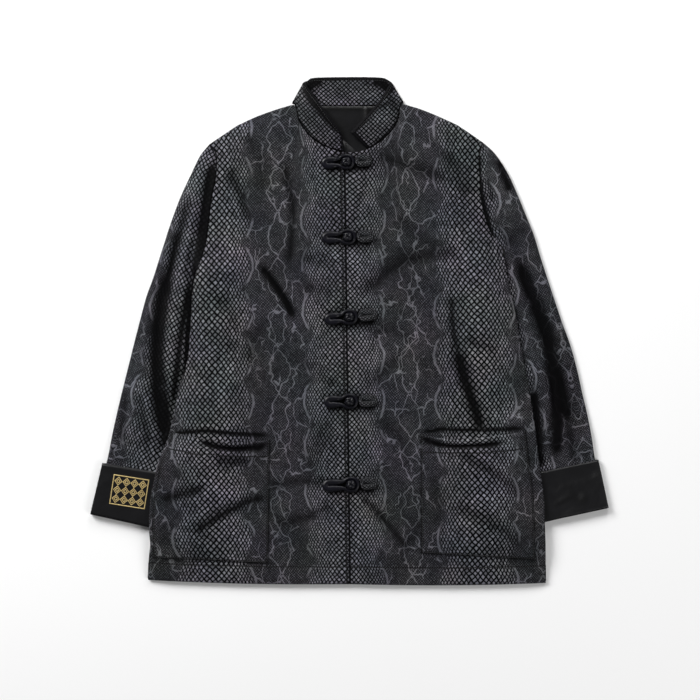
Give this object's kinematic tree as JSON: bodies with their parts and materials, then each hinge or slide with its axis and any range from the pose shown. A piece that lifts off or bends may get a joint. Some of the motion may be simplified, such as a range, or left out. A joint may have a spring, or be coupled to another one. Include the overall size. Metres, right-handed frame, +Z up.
{
  "type": "mandarin collar jacket laid flat",
  "caption": "Long-sleeved stand-collar jacket of snakeskin-patterned jacquard, laid flat, with frog fastenings, patch pockets and turned-back satin cuffs.",
  "frame": {"origin": "centre of the jacket's outline on the surface it lies on", "axes": "+Y from hem to collar, +X towards the wearer's left, +Z up out of the front"},
  "size_m": [0.7778, 0.7606, 0.0221],
  "materials": {
    "jacquard": "black jacquard with a grey snakeskin pattern, half shiny",
    "black_satin": "plain black satin",
    "cord": "black satin cord"
  },
  "bodies": {
    "root": {"back": "jacquard", "front_right": "jacquard", "front_left": "jacquard", "sleeve_right": "jacquard", "sleeve_left": "jacquard", "cuff_right": "black_satin", "cuff_left": "black_satin", "collar": "jacquard", "neck_lining": "black_satin", "underlap": "black_satin", "pocket_right": "jacquard", "pocket_left": "jacquard", "frog_1_loop": "cord", "frog_1_wing": "cord", "frog_1_knot": "cord", "frog_2_loop": "cord", "frog_2_wing": "cord", "frog_2_knot": "cord", "frog_3_loop": "cord", "frog_3_wing": "cord", "frog_3_knot": "cord", "frog_4_loop": "cord", "frog_4_wing": "cord", "frog_4_knot": "cord", "frog_5_loop": "cord", "frog_5_wing": "cord", "frog_5_knot": "cord"}
  },
  "joints": []
}
